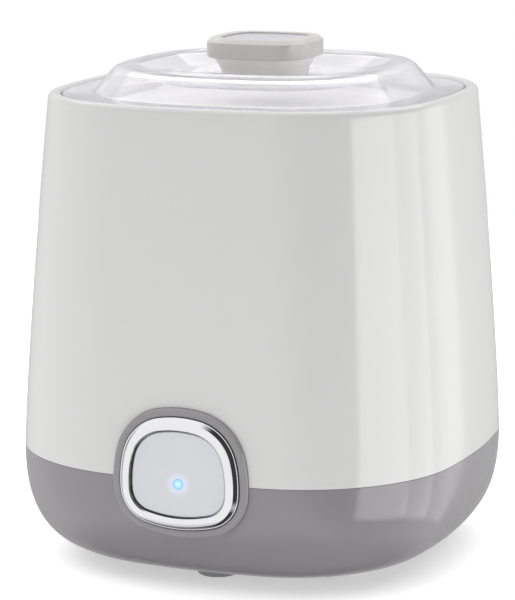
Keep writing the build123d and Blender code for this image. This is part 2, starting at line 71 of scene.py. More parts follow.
def new_material(name):
    """An empty node material, its tree and its output."""
    material = bpy.data.materials.new(name)
    material.use_nodes = True
    tree = material.node_tree
    tree.nodes.clear()
    output = tree.nodes.new("ShaderNodeOutputMaterial")
    return material, tree, output


def add(tree, kind, inputs=None, **settings):
    """A node of that kind; an input is a value, or another node's output socket."""
    node = tree.nodes.new(kind)
    for key, value in settings.items():
        setattr(node, key, value)
    for key, value in (inputs or {}).items():
        if isinstance(value, bpy.types.NodeSocket):
            tree.links.new(value, node.inputs[key])
        else:
            node.inputs[key].default_value = value
    return node


def towards(compass, rise):
    """Direction from the object: degrees from the panel's front to the right, and upwards."""
    turn, up = radians(compass), radians(rise)
    return Vector((sin(turn) * cos(up), -cos(turn) * cos(up), sin(up)))


def lamp(name, kind, direction, reach, power):
    """A lamp that looks at the middle of the object from a direction."""
    data = bpy.data.lights.new(name, kind)
    data.energy = power
    made = bpy.data.objects.new(name, data)
    made.location = Vector((0, 0, 0.09)) + direction * reach
    made.rotation_euler = (-direction).to_track_quat("-Z", "Y").to_euler()
    bpy.context.scene.collection.objects.link(made)
    return made


overhead = lamp("overhead", "SUN", towards(180, 84), 2.0, 2.05)
overhead.data.angle = radians(110)
soft_boxes = [lamp("soft_box_near", "AREA", towards(78.5, -9), 1.2, 7.5),
              lamp("soft_box_side", "AREA", towards(109.7, -9), 1.2, 3.3),
              lamp("soft_box_far", "AREA", towards(136, -9), 1.2, 1.35)]
for soft_box, width in zip(soft_boxes, (0.82, 0.53, 0.60)):
    soft_box.data.shape = "RECTANGLE"
    soft_box.data.size, soft_box.data.size_y = width, 0.95

world = bpy.data.worlds.new("surround")
world.use_nodes = True
world.node_tree.nodes.clear()
sky = world.node_tree
heading = add(sky, "ShaderNodeTexCoord").outputs["Generated"]
shade_side = add(sky, "ShaderNodeVectorMath", {0: heading, 1: towards(70, 20)},
                 operation="DOT_PRODUCT")
side_fade = add(sky, "ShaderNodeMapRange", {"Value": shade_side.outputs["Value"], "From Min": 0.30,
                                            "From Max": 0.72, "To Min": 0.9, "To Max": 0.04},
                interpolation_type="SMOOTHSTEP")
height = add(sky, "ShaderNodeSeparateXYZ", {0: heading}).outputs["Z"]
low_fade = add(sky, "ShaderNodeMapRange", {"Value": height, "From Min": -0.80, "From Max": -0.60,
                                        "To Min": 0.05, "To Max": 1.0})
far_side = add(sky, "ShaderNodeVectorMath", {0: heading, 1: towards(201, -35)},
               operation="DOT_PRODUCT")
back_fade = add(sky, "ShaderNodeMapRange", {"Value": far_side.outputs["Value"], "From Min": 0.6,
                                            "From Max": 0.95, "To Min": 1.0, "To Max": 0.5})
near_light = add(sky, "ShaderNodeMath", {0: side_fade.outputs["Result"],
                                         1: low_fade.outputs["Result"]}, operation="MULTIPLY")
all_light = add(sky, "ShaderNodeMath", {0: near_light.outputs[0], 1: back_fade.outputs["Result"]},
                operation="MULTIPLY")
rays = add(sky, "ShaderNodeLightPath")
strength = add(sky, "ShaderNodeMath", {0: all_light.outputs[0], 1: rays.outputs["Is Camera Ray"]},
               operation="MAXIMUM")
glow = add(sky, "ShaderNodeBackground", {"Color": (1, 1, 1, 1), "Strength": strength.outputs[0]})
add(sky, "ShaderNodeOutputWorld", {"Surface": glow.outputs[0]})
bpy.context.scene.world = world

floor_mesh = bmesh.new()
bmesh.ops.create_circle(floor_mesh, cap_ends=True, segments=96, radius=0.8)
floor_data = bpy.data.meshes.new("floor")
floor_mesh.to_mesh(floor_data)
floor_mesh.free()
floor = bpy.data.objects.new("floor", floor_data)
bpy.context.scene.collection.objects.link(floor)
floor.visible_glossy = False
pale, tree, output = new_material("pale_floor")
mottle = add(tree, "ShaderNodeTexNoise", {"Scale": 3.0, "Detail": 2.0})
tone = add(tree, "ShaderNodeMapRange", {"Value": mottle.outputs["Fac"], "To Min": 0.92,
                                        "To Max": 0.95})
paint = add(tree, "ShaderNodeBsdfPrincipled",
            {"Base Color": tone.outputs["Result"], "Roughness": 0.9, "Specular IOR Level": 0.1,
             "Emission Color": (1, 1, 1, 1), "Emission Strength": 0.42})
tree.links.new(paint.outputs[0], output.inputs["Surface"])
floor.data.materials.append(pale)


# ---- Outer shell ----
# The white upper housing: injection-moulded ABS with a polished skin, one piece from the seam
# to the thick rim, with a ledge inside the rim. It is held between the base and the well.
shell_low, shell_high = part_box("outer_shell")
seam_z, rim_z = shell_low.z, shell_high.z
seam_half, rim_half = 0.0840, 0.0744
shell_wall = 0.0026
mouth_half = 0.0702
ledge_half = 0.0670
ledge_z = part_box("well_liner")[1].z - 0.002


def soften(corners, steps=6):
    """Profile points from (across, up, radius) corners: a radius turns its corner into an arc."""
    points = []
    last = len(corners) - 1
    for i, (across, up, radius) in enumerate(corners):
        here = Vector((across, up))
        if radius == 0 or i in (0, last):
            points.append(here)
            continue
        back = (Vector(corners[i - 1][:2]) - here).normalized()
        ahead = (Vector(corners[i + 1][:2]) - here).normalized()
        half_turn = back.angle(ahead) / 2
        centre = here + (back + ahead).normalized() * radius / sin(half_turn)
        first = here + back * radius / tan(half_turn) - centre
        final = here + ahead * radius / tan(half_turn) - centre
        for k in range(steps + 1):
            points.append(centre + first.slerp(final, k / steps).normalized() * radius)
    return points


def square_plan(bow=2.908, corner=0.699):
    """Place of a point on a rounded square: two bowed-side and corner arcs, by its direction."""
    reach = bow - 1
    middle = (sqrt(2 * (bow - corner) ** 2 - reach**2) - reach) / 2
    limit = middle / (middle + reach)

    def place(facing, station):
        half, z = station
        long = max(abs(facing.x), abs(facing.y))
        short = min(abs(facing.x), abs(facing.y))
        if short < limit * long:
            far, near = bow * long - reach, bow * short
        else:
            far, near = middle + corner * long, middle + corner * short
        x, y = (far, near) if abs(facing.x) > abs(facing.y) else (near, far)
        x = x if facing.x > 0 else -x
        y = y if facing.y > 0 else -y
        return Vector((x * half, y * half, z))

    return place


def skin(stations, place, segments=192):
    """Surface through one ring for each station: the first ring is extruded again and again."""
    bm = bmesh.new()
    facing = bm.verts.layers.float_vector.new("facing")
    bmesh.ops.create_circle(bm, segments=segments, radius=1.0)
    for point in bm.verts:
        point[facing] = point.co
    ring, points = bm.edges[:], bm.verts[:]
    for i, station in enumerate(stations):
        if i > 0:
            made = bmesh.ops.extrude_edge_only(bm, edges=ring)["geom"]
            points = [item for item in made if isinstance(item, bmesh.types.BMVert)]
            new_points = set(points)
            ring = [item for item in made if isinstance(item, bmesh.types.BMEdge)
                    and new_points.issuperset(item.verts)]
        for point in points:
            point.co = place(point[facing], station)
    return bm


def tidy(bm, crease=32):
    """Merges what meets, turns the faces outwards and keeps real edges sharp."""
    bmesh.ops.remove_doubles(bm, verts=bm.verts, dist=2e-6)
    bmesh.ops.recalc_face_normals(bm, faces=bm.faces)
    for face in bm.faces:
        face.smooth = True
    for edge in bm.edges:
        edge.smooth = len(edge.link_faces) == 2 and edge.calc_face_angle() < radians(crease)


def to_object(name, bm, material=None, crease=32):
    """Puts the finished bmesh into the scene as an object at the origin."""
    tidy(bm, crease)
    data = bpy.data.meshes.new(name)
    bm.to_mesh(data)
    bm.free()
    made = bpy.data.objects.new(name, data)
    bpy.context.scene.collection.objects.link(made)
    if material:
        data.materials.append(material)
    return made


def carve(obj, *cutters):
    """Cuts closed shapes out of a piece, and keeps the cut's edges sharp."""
    for cutter in cutters:
        cut = obj.modifiers.new("cut", "BOOLEAN")
        cut.operation = "DIFFERENCE"
        cut.solver = "EXACT"
        cut.object = cutter
    graph = bpy.context.evaluated_depsgraph_get()
    result = bpy.data.meshes.new_from_object(obj.evaluated_get(graph))
    obj.modifiers.clear()
    bm = bmesh.new()
    bm.from_mesh(result)
    tidy(bm)
    bm.to_mesh(obj.data)
    bm.free()
    bpy.data.meshes.remove(result)
    for cutter in cutters:
        bpy.data.objects.remove(cutter)


def shell_half(z):
    """Half width of the white shell at a height: it draws in towards the rim."""
    rise = (z - seam_z) / (rim_z - seam_z)
    return seam_half - (seam_half - rim_half) * max(rise, 0) ** 1.236


def moulded(name, colour, roughness=0.16, shade=0.03, grain=0.02):
    """Moulded plastic: faint flow marks in the colour, a slightly uneven gloss and fine ripple."""
    material, tree, output = new_material(name)
    where = add(tree, "ShaderNodeTexCoord").outputs["Object"]
    flow = add(tree, "ShaderNodeTexNoise", {"Vector": where, "Scale": 14.0, "Detail": 3.0})
    darker = [c * (1 - shade) for c in colour] + [1]
    lighter = [min(c * (1 + shade), 1) for c in colour] + [1]
    tint = add(tree, "ShaderNodeMix", {"Factor": flow.outputs["Fac"]}, data_type="RGBA")
    tint.inputs[6].default_value = darker
    tint.inputs[7].default_value = lighter
    uneven = add(tree, "ShaderNodeTexNoise", {"Vector": where, "Scale": 60.0, "Detail": 4.0})
    gloss = add(tree, "ShaderNodeMapRange", {"Value": uneven.outputs["Fac"],
                                             "To Min": roughness * 0.8, "To Max": roughness * 1.2})
    ripple = add(tree, "ShaderNodeTexNoise", {"Vector": where, "Scale": 900.0, "Detail": 2.0})
    bump = add(tree, "ShaderNodeBump", {"Height": ripple.outputs["Fac"], "Strength": grain,
                                        "Distance": 0.0002})
    plastic = add(tree, "ShaderNodeBsdfPrincipled",
                  {"Base Color": tint.outputs[2], "Roughness": gloss.outputs["Result"],
                   "Normal": bump.outputs["Normal"], "IOR": 1.55})
    tree.links.new(plastic.outputs[0], output.inputs["Surface"])
    return material


rounded_square = square_plan()
wall_heights = [seam_z + (rim_z - seam_z) * k / 26 for k in range(1, 26)]
outer_corners = [(seam_half - shell_wall, seam_z, 0), (seam_half, seam_z, 0.00012)]
outer_corners += [(shell_half(z), z, 0) for z in wall_heights]
outer_corners += [(rim_half, rim_z, 0.0022), (mouth_half, rim_z, 0.0016),
                  (mouth_half, ledge_z, 0.0004)]
outer_corners += [(ledge_half, ledge_z, 0.0003), (ledge_half, ledge_z - 0.002, 0.0003)]
outer_corners += [(shell_half(z) - shell_wall, z, 0) for z in wall_heights[-2::-4]]
outer_corners += [(seam_half - shell_wall, seam_z, 0)]
white_gloss = moulded("white_gloss", (0.575, 0.572, 0.570), roughness=0.14, shade=0.006)
outer_shell = to_object("housing_shell", skin(soften(outer_corners), rounded_square), white_gloss)

panel_side = (Vector((-0.01995, 0.042)), 0.038)
panel_foot = (Vector((0, 0.07485)), 0.045)
panel_head = (Vector((0, 0.0254)), 0.036)


def round_between(first, second, radius, side):
    """Centre of the arc of that radius that rounds the corner of two discs."""
    (a, a_r), (b, b_r) = first, second
    reach_a, reach_b = a_r - radius, b_r - radius
    apart = b - a
    along = (reach_a**2 - reach_b**2 + apart.length**2) / (2 * apart.length)
    off = sqrt(reach_a**2 - along**2)
    ahead = apart.normalized()
    across = Vector((-ahead.y, ahead.x)) * side
    return (a + ahead * along + across * off, radius)


lower_round = round_between(panel_side, panel_foot, 0.0085, -1)
upper_round = round_between(panel_side, panel_head, 0.0130, 1)
panel_arcs = [panel_foot, lower_round, panel_side, upper_round, panel_head]


def angle_of(vector):
    return atan2(vector.y, vector.x)


panel_limits = [angle_of(lower_round[0] - panel_foot[0]), angle_of(lower_round[0] - panel_side[0]),
                angle_of(upper_round[0] - panel_side[0]), angle_of(upper_round[0] - panel_head[0])]


def panel_plan(facing, station):
    """Place of a point on the panel's outline, grown by an amount, at a depth."""
    grow, depth = station
    right = Vector((abs(facing.x), facing.y))
    turn = angle_of(right)
    arc = panel_arcs[sum(turn > limit for limit in panel_limits)]
    spot = arc[0] + right * (arc[1] + grow)
    x = spot.x if facing.x > 0 else -spot.x
    return Vector((x, depth, spot.y))


def capped(bm):
    """Closes the open rings of a skin with flat faces."""
    rims = [edge for edge in bm.edges if len(edge.link_faces) < 2]
    bmesh.ops.holes_fill(bm, edges=rims)
    return bm


def panel_cutter(grow=0.00768, front=-0.095, back=-0.065):
    """Plug of the panel's outline, for the opening in both housing shells."""
    return to_object("cutter", capped(skin([(grow, front), (grow, back)], panel_plan, 96)))


carve(outer_shell, panel_cutter())
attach(outer_shell, "housing")
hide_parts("outer_shell")


# ---- Base ----
# The grey tub under the shell: glossy moulded ABS that curves under to a flat bottom, with a lip
# inside the shell, bosses for the closing screws and the board, vent slots and the cord's hole.
bottom_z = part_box("base_shell")[0].z
base_top_z = seam_z - 0.0001
bottom_half = 0.0530
base_wall = 0.0025
lip_half = seam_half - shell_wall - 0.0003
screw_reach = 0.0395
boss_top = 0.030
gland_z = 0.032


def base_half(z):
    """Half width of the base at a height: a long soft curve under the seam."""
    rise = min((z - bottom_z) / (base_top_z - bottom_z), 1)
    return 0.0309 + (seam_half - 0.0309) * (1 - (1 - rise) ** 2.43) ** (1 / 4.85)


def inset(corners, wall):
    """The same profile moved inwards by the wall, square to the surface."""
    inner = []
    last = len(corners) - 1
    for i, (across, up, radius) in enumerate(corners):
        before, after = corners[max(i - 1, 0)], corners[min(i + 1, last)]
        run, climb = after[0] - before[0], after[1] - before[1]
        length = hypot(run, climb)
        inner.append((across - wall * climb / length, up + wall * run / length, radius))
    return inner


def round_plan(x=0, y=0):
    """Place of a point on a circle round an upright axis."""
    def place(facing, station):
        radius, z = station
        return Vector((x + facing.x * radius, y + facing.y * radius, z))
    return place


def along_y(x=0, z=0):
    """Place of a point on a circle round an axis that points to the back."""
    def place(facing, station):
        radius, depth = station
        return Vector((x + facing.x * radius, depth, z + facing.y * radius))
    return place


def joined(bm, *others):
    """Puts further closed shapes into the same mesh."""
    for other in others:
        data = bpy.data.meshes.new("joined")
        other.to_mesh(data)
        other.free()
        bm.from_mesh(data)
        bpy.data.meshes.remove(data)
    return bm


def plug(radius, low, high, place):
    """Closed cylinder between two stations, to cut with."""
    return to_object("plug", capped(skin([(radius, low), (radius, high)], place, 48)))


base_heights = [bottom_z + (base_top_z - bottom_z) * (k / 30) ** 1.9 for k in range(2, 30)]
base_curve = [(bottom_half, bottom_z, 0)]
base_curve += [(base_half(z), z, 0) for z in base_heights if base_half(z) > bottom_half + 0.001]
base_curve += [(seam_half, base_top_z, 0)]
base_inside = inset(base_curve, base_wall)[::-1]
base_corners = [(0, bottom_z, 0)] + base_curve[:-1] + [(seam_half, base_top_z, 0.0001)]
base_corners += [(lip_half, base_top_z, 0), (lip_half, base_top_z + 0.004, 0.0005)]
base_corners += [(lip_half - 0.0018, base_top_z + 0.004, 0.0005),
                 (lip_half - 0.0018, base_top_z - 0.004, 0)]
base_corners += [point for point in base_inside if point[1] < base_top_z - 0.0045]
base_corners += [(0, bottom_z + base_wall, 0)]
grey_gloss = moulded("grey_gloss", (0.222, 0.214, 0.222), roughness=0.15, shade=0.01)
base = to_object("housing_base", skin(soften(base_corners), rounded_square), grey_gloss)

gland_seat = 0.0827
outside = 0.092
cuts = [panel_cutter(), plug(0.0056, 0.070, outside, along_y(z=gland_z)),
        plug(0.0074, gland_seat, outside, along_y(z=gland_z))]
screw_spots = [(x, y) for x in (-screw_reach, screw_reach) for y in (-screw_reach, screw_reach)]
for x, y in screw_spots:
    cuts.append(plug(0.0040, 0.002, 0.007, round_plan(x, y)))


def slot_cutter(x, y, length, width):
    """Long hole with round ends, to cut a vent."""
    def place(facing, station):
        shift = (length - width) / 2 * (1 if facing.y > 0 else -1)
        return Vector((x + facing.x * width / 2, y + facing.y * width / 2 + shift, station[1]))
    return to_object("vent", capped(skin([(1, 0.001), (1, 0.008)], place, 32)))


vent_pitch, vent_reach, vent_length, vent_width = 0.007, 0.024, 0.020, 0.0024
for side in (-1, 1):
    for k in range(-2, 3):
        cuts.append(slot_cutter(k * vent_pitch, side * vent_reach, vent_length, vent_width))
carve(base, *cuts)

boss_foot, head_seat = 0.0050, 0.0082
base_mesh = bmesh.new()
base_mesh.from_mesh(base.data)
for x, y in screw_spots:
    boss = [(0.0055, boss_foot, 0), (0.0055, boss_top, 0.0004), (0.0020, boss_top, 0),
            (0.0020, head_seat, 0), (0.0040, head_seat, 0), (0.0040, boss_foot, 0),
            (0.0055, boss_foot, 0)]
    joined(base_mesh, skin(soften(boss, 3), round_plan(x, y), 40))
board_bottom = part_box("control_board")[0].z
for x in (-0.027, 0.027):
    for y in (-0.017, 0.033):
        post = [(0.0030, boss_foot, 0), (0.0030, board_bottom, 0.0003), (0.00105, board_bottom, 0),
                (0.00105, 0.0065, 0), (0, 0.0065, 0)]
        joined(base_mesh, skin(soften(post, 3), round_plan(x, y), 24))
tidy(base_mesh)
base_mesh.to_mesh(base.data)
base_mesh.free()
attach(base, "housing")
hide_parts("base_shell")


# ---- Feet, cord gland and closing screws ----
# Four soft pads pegged into the bottom, the grommet that the mains cord would leave through, and
# four long zinc-plated screws that draw the base, the shell and the well together.
def dress(material, *names):
    """Gives CAD pieces whose shape stays a worked material."""
    for name in names:
        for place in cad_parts[name].material_slots:
            place.material = material


def metal(name, colour, roughness, streak=0.25, stretch=(1, 1, 1), scale=400.0, depth=0.03):
    """Bare metal: drawn or rolled marks in the gloss, along the axis that isn't stretched."""
    material, tree, output = new_material(name)
    where = add(tree, "ShaderNodeTexCoord").outputs["Object"]
    drawn = add(tree, "ShaderNodeMapping", {"Vector": where, "Scale": stretch})
    marks = add(tree, "ShaderNodeTexNoise", {"Vector": drawn.outputs[0], "Scale": scale,
                                             "Detail": 4.0})
    gloss = add(tree, "ShaderNodeMapRange", {"Value": marks.outputs["Fac"],
                                             "To Min": roughness * (1 - streak),
                                             "To Max": roughness * (1 + streak)})
    tint = add(tree, "ShaderNodeMix", {"Factor": marks.outputs["Fac"]}, data_type="RGBA")
    tint.inputs[6].default_value = [c * 0.94 for c in colour] + [1]
    tint.inputs[7].default_value = list(colour) + [1]
    bump = add(tree, "ShaderNodeBump", {"Height": marks.outputs["Fac"], "Strength": depth,
                                        "Distance": 0.0002})
    shader = add(tree, "ShaderNodeBsdfPrincipled",
                 {"Base Color": tint.outputs[2], "Roughness": gloss.outputs["Result"],
                  "Metallic": 1.0, "Normal": bump.outputs["Normal"]})
    tree.links.new(shader.outputs[0], output.inputs["Surface"])
    return material


foot_rubber = moulded("foot_rubber", (0.30, 0.30, 0.305), roughness=0.55, shade=0.08, grain=0.3)
zinc = metal("zinc_plate", (0.62, 0.62, 0.64), 0.3, stretch=(1, 1, 0.3))
dress(foot_rubber, "rubber_feet", "cord_gland")
dress(zinc, "closing_screws", "board_screws", "carrier_screws", "clamp_screws")


# ---- Panel frame ----
# The grey bezel round the button, moulded in the base's plastic with a softly rounded outer
# edge. A flange behind the wall holds it, and its pocket takes the plated ring.
frame_low, frame_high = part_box("panel_frame")
frame_front, frame_back = frame_low.y, frame_high.y
pocket_floor = -0.0824
flange_front = frame_back - 0.0016
frame_corners = [(0.0076, flange_front, 0), (0.0076, frame_front, 0.0012),
                 (0.00475, frame_front, 0.0002), (0.00475, pocket_floor, 0),
                 (0.0016, pocket_floor, 0.0002), (0.0016, pocket_floor + 0.002, 0),
                 (0.0049, pocket_floor + 0.002, 0), (0.0049, frame_back, 0),
                 (0.0096, frame_back, 0.0003), (0.0096, flange_front, 0.0003),
                 (0.0076, flange_front, 0)]
bezel_grey = moulded("bezel_grey", (0.245, 0.238, 0.245), roughness=0.2, shade=0.01)
panel_frame = to_object("panel_bezel", skin(soften(frame_corners, 5), panel_plan, 256), bezel_grey)
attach(panel_frame, "housing")
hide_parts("panel_frame")


# ---- Plated ring ----
# Bright chrome on moulded plastic: a thin lip beside the bezel's groove, a steep outer bevel, a
# broad sloping face and a fine inner edge. It is pressed into the bezel's pocket. The lamps pass
# it by, so it mirrors only the surround and its bevel stays dark on the right.
ring_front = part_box("chrome_ring")[0].y
lip_front = -0.0845
ring_corners = [(0.00442, pocket_floor, 0), (0.00442, lip_front, 0.00012),
                (0.00408, lip_front, 0.00008), (0.0030, ring_front + 0.0006, 0.00012),
                (0.00035, ring_front, 0.0001), (0.00004, ring_front + 0.0004, 0.0001),
                (0.00004, pocket_floor, 0), (0.00442, pocket_floor, 0)]
bright, tree, output = new_material("bright_chrome")
where = add(tree, "ShaderNodeTexCoord").outputs["Object"]
smear = add(tree, "ShaderNodeTexNoise", {"Vector": where, "Scale": 120.0, "Detail": 3.0})
shine = add(tree, "ShaderNodeMapRange", {"Value": smear.outputs["Fac"], "To Min": 0.015,
                                         "To Max": 0.05})
orange_peel = add(tree, "ShaderNodeTexNoise", {"Vector": where, "Scale": 260.0, "Detail": 1.0})
wave = add(tree, "ShaderNodeBump", {"Height": orange_peel.outputs["Fac"], "Strength": 0.02,
                                    "Distance": 0.0002})
plating = add(tree, "ShaderNodeBsdfPrincipled",
              {"Base Color": (0.93, 0.93, 0.945, 1), "Metallic": 1.0,
               "Roughness": shine.outputs["Result"], "Normal": wave.outputs["Normal"]})
tree.links.new(plating.outputs[0], output.inputs["Surface"])
ring = to_object("plated_ring", skin(soften(ring_corners, 4), panel_plan, 384), bright, crease=24)
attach(ring, "housing")
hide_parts("chrome_ring")
unlit = bpy.data.collections.new("out_of_the_lamps")
unlit.objects.link(ring)
unlit.collection_objects[0].light_linking.link_state = "EXCLUDE"
for each_lamp in soft_boxes + [overhead]:
    each_lamp.light_linking.receiver_collection = unlit


# ---- Press button and its light ----
# A silver-painted plate that fills the ring, with guide posts behind it. A clear rod in it brings
# the lamp's light to a round window, which glows ice blue. Round the window the paint has a painted
# blue glow that fades outwards, standing for the light spilling onto it.
light_z = 0.0421
light_centre = Vector((0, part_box("light_guide")[0].y, light_z))
silver, tree, output = new_material("silver_paint")
where = add(tree, "ShaderNodeTexCoord").outputs["Object"]
flake = add(tree, "ShaderNodeTexVoronoi", {"Vector": where, "Scale": 9000.0})
tint = add(tree, "ShaderNodeMix", {"Factor": flake.outputs["Distance"]}, data_type="RGBA")
tint.inputs[6].default_value = (0.68, 0.685, 0.71, 1)
tint.inputs[7].default_value = (0.72, 0.725, 0.75, 1)
patches = add(tree, "ShaderNodeTexNoise", {"Vector": where, "Scale": 70.0, "Detail": 3.0})
sheen = add(tree, "ShaderNodeMapRange", {"Value": patches.outputs["Fac"], "To Min": 0.33,
                                         "To Max": 0.40})
# Painted glow: the paint itself emits blue near the window, fading with distance, standing for the
# window's light falling on it.
apart = add(tree, "ShaderNodeVectorMath", {0: where, 1: light_centre}, operation="DISTANCE")
painted_glow = add(tree, "ShaderNodeMapRange", {"Value": apart.outputs["Value"], "From Min": 0.002,
                                        "From Max": 0.0052, "To Min": 0.22, "To Max": 0.0},
           interpolation_type="SMOOTHSTEP")
paint = add(tree, "ShaderNodeBsdfPrincipled",
            {"Base Color": tint.outputs[2], "Metallic": 0.6, "Roughness": sheen.outputs["Result"],
             "Emission Color": (0.35, 0.55, 1.0, 1), "Emission Strength": painted_glow.outputs["Result"]})
tree.links.new(paint.outputs[0], output.inputs["Surface"])
dress(silver, "power_button")

ice, tree, output = new_material("ice_blue_light")
where = add(tree, "ShaderNodeTexCoord").outputs["Object"]
apart = add(tree, "ShaderNodeVectorMath", {0: where, 1: light_centre}, operation="DISTANCE")
fade = add(tree, "ShaderNodeMapRange", {"Value": apart.outputs["Value"], "From Min": 0.0006,
                                        "From Max": 0.0021})
cloud = add(tree, "ShaderNodeTexNoise", {"Vector": where, "Scale": 900.0})
hue = add(tree, "ShaderNodeMix", {"Factor": fade.outputs["Result"]}, data_type="RGBA")
hue.inputs[6].default_value = (0.66, 0.90, 0.95, 1)
hue.inputs[7].default_value = (0.08, 0.48, 0.85, 1)
flicker = add(tree, "ShaderNodeMapRange", {"Value": cloud.outputs["Fac"], "To Min": 0.72,
                                           "To Max": 0.85})
window = add(tree, "ShaderNodeBsdfPrincipled",
             {"Base Color": (0.10, 0.2, 0.25, 1), "Roughness": 0.12,
              "Emission Color": hue.outputs[2], "Emission Strength": flicker.outputs["Result"]})
tree.links.new(window.outputs[0], output.inputs["Surface"])
dress(ice, "light_guide", "led_lamp")


# ---- Switch parts behind the panel ----
# The black bracket with its guide sleeves, the small upright board, and the square switch whose
# round plunger the button pushes.
black_matt = moulded("black_moulding", (0.028, 0.028, 0.031), roughness=0.5, shade=0.15, grain=0.15)
dress(black_matt, "switch_carrier", "tact_switch", "switch_plunger", "relay", "thermostat")
boards, tree, output = new_material("green_board")
where = add(tree, "ShaderNodeTexCoord").outputs["Object"]
cells = add(tree, "ShaderNodeTexVoronoi", {"Vector": where, "Scale": 160.0},
            feature="DISTANCE_TO_EDGE")
tracks = add(tree, "ShaderNodeMapRange", {"Value": cells.outputs["Distance"], "From Min": 0.06,
                                          "From Max": 0.10})
lacquer = add(tree, "ShaderNodeMix", {"Factor": tracks.outputs["Result"]}, data_type="RGBA")
lacquer.inputs[6].default_value = (0.03, 0.20, 0.08, 1)
lacquer.inputs[7].default_value = (0.015, 0.11, 0.045, 1)
ridge = add(tree, "ShaderNodeBump", {"Height": tracks.outputs["Result"], "Strength": 0.3,
                                     "Distance": 0.0001}, invert=True)
resin = add(tree, "ShaderNodeBsdfPrincipled", {"Base Color": lacquer.outputs[2], "Roughness": 0.32,
                                               "Normal": ridge.outputs["Normal"]})
tree.links.new(resin.outputs[0], output.inputs["Surface"])
dress(boards, "switch_board", "control_board")


# ---- Power board ----
# Its parts stand on the green board: relay, small transformer, film and can capacitors, and the
# terminal block at the back. White silicone-sleeved leads go up to the heater and the switch.
sleeve_blue = moulded("capacitor_sleeve", (0.05, 0.09, 0.28), roughness=0.25, shade=0.06)
terminal_beige = moulded("terminal_plastic", (0.62, 0.60, 0.52), roughness=0.45, shade=0.05,
                         grain=0.1)
iron = metal("core_iron", (0.30, 0.29, 0.28), 0.5, stretch=(1, 30, 1), scale=120.0, depth=0.2)
silicone = moulded("silicone", (0.72, 0.72, 0.70), roughness=0.42, shade=0.03, grain=0.12)
dress(sleeve_blue, "filter_capacitor", "smoothing_capacitor")
dress(terminal_beige, "terminal_block")
dress(iron, "transformer")
dress(silicone, "heater_leads", "signal_lead", "plate_seal", "pot_lid_seal", "knob_washer")


# ---- Well ----
# The white polypropylene tub that the pot stands in. It hangs by its flange from the shell's
# ledge, and its four posts take the closing screws from below.
liner_low, liner_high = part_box("well_liner")
well_floor = 0.054
liner_corners = [(0.0445, well_floor - 0.002, 0), (0.0590, well_floor - 0.002, 0.0025),
                 (0.0625, ledge_z, 0.0008), (0.0700, ledge_z, 0.0004),
                 (0.0700, liner_high.z, 0.0006), (0.06047, liner_high.z, 0.0012),
                 (0.0570, well_floor, 0.0020), (0.0445, well_floor, 0.0004),
                 (0.0445, well_floor - 0.002, 0)]
liner_white = moulded("satin_white", (0.76, 0.755, 0.73), roughness=0.32, shade=0.012, grain=0.04)
liner_mesh = skin(soften(liner_corners), rounded_square)
for x, y in screw_spots:
    post = [(0.0043, well_floor - 0.0015, 0), (0.0043, liner_low.z, 0.0003),
            (0.00165, liner_low.z, 0), (0.00165, 0.048, 0), (0, 0.048, 0)]
    joined(liner_mesh, skin(soften(post, 3), round_plan(x, y), 32))
liner = to_object("well", liner_mesh, liner_white)
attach(liner, "housing")
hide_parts("well_liner")


# ---- Heater ----
# The pressed aluminium plate in the well's floor, with fine turning marks, and under it the
# mica-insulated heating ring, the steel disc that holds it, and the fuse with its spring clip.
turned, tree, output = new_material("turned_aluminium")
where = add(tree, "ShaderNodeTexCoord").outputs["Object"]
rings = add(tree, "ShaderNodeTexWave", {"Vector": where, "Scale": 700.0, "Distortion": 0.6,
                                        "Detail": 2.0}, wave_type="RINGS", rings_direction="Z")
stains = add(tree, "ShaderNodeTexNoise", {"Vector": where, "Scale": 40.0, "Detail": 5.0})
tint = add(tree, "ShaderNodeMix", {"Factor": stains.outputs["Fac"]}, data_type="RGBA")
tint.inputs[6].default_value = (0.66, 0.66, 0.67, 1)
tint.inputs[7].default_value = (0.80, 0.80, 0.80, 1)
gloss = add(tree, "ShaderNodeMapRange", {"Value": rings.outputs["Fac"], "To Min": 0.26,
                                         "To Max": 0.42})
groove = add(tree, "ShaderNodeBump", {"Height": rings.outputs["Fac"], "Strength": 0.12,
                                      "Distance": 0.0001})
plate = add(tree, "ShaderNodeBsdfPrincipled", {"Base Color": tint.outputs[2], "Metallic": 1.0,
                                               "Roughness": gloss.outputs["Result"],
                                               "Normal": groove.outputs["Normal"]})
tree.links.new(plate.outputs[0], output.inputs["Surface"])
dress(turned, "heating_plate")

mica, tree, output = new_material("mica_ring")
where = add(tree, "ShaderNodeTexCoord").outputs["Object"]
windings = add(tree, "ShaderNodeTexWave", {"Vector": where, "Scale": 160.0}, wave_type="RINGS",
               rings_direction="Z")
layer = add(tree, "ShaderNodeMix", {"Factor": windings.outputs["Fac"]}, data_type="RGBA")
layer.inputs[6].default_value = (0.42, 0.30, 0.16, 1)
layer.inputs[7].default_value = (0.55, 0.47, 0.33, 1)
sheet = add(tree, "ShaderNodeBsdfPrincipled", {"Base Color": layer.outputs[2], "Roughness": 0.45})
tree.links.new(sheet.outputs[0], output.inputs["Surface"])
dress(mica, "heater_element")
dress(metal("rolled_steel", (0.55, 0.55, 0.56), 0.35, stretch=(1, 12, 1), scale=90.0),
      "heater_clamp", "fuse_clip", "thermal_fuse")


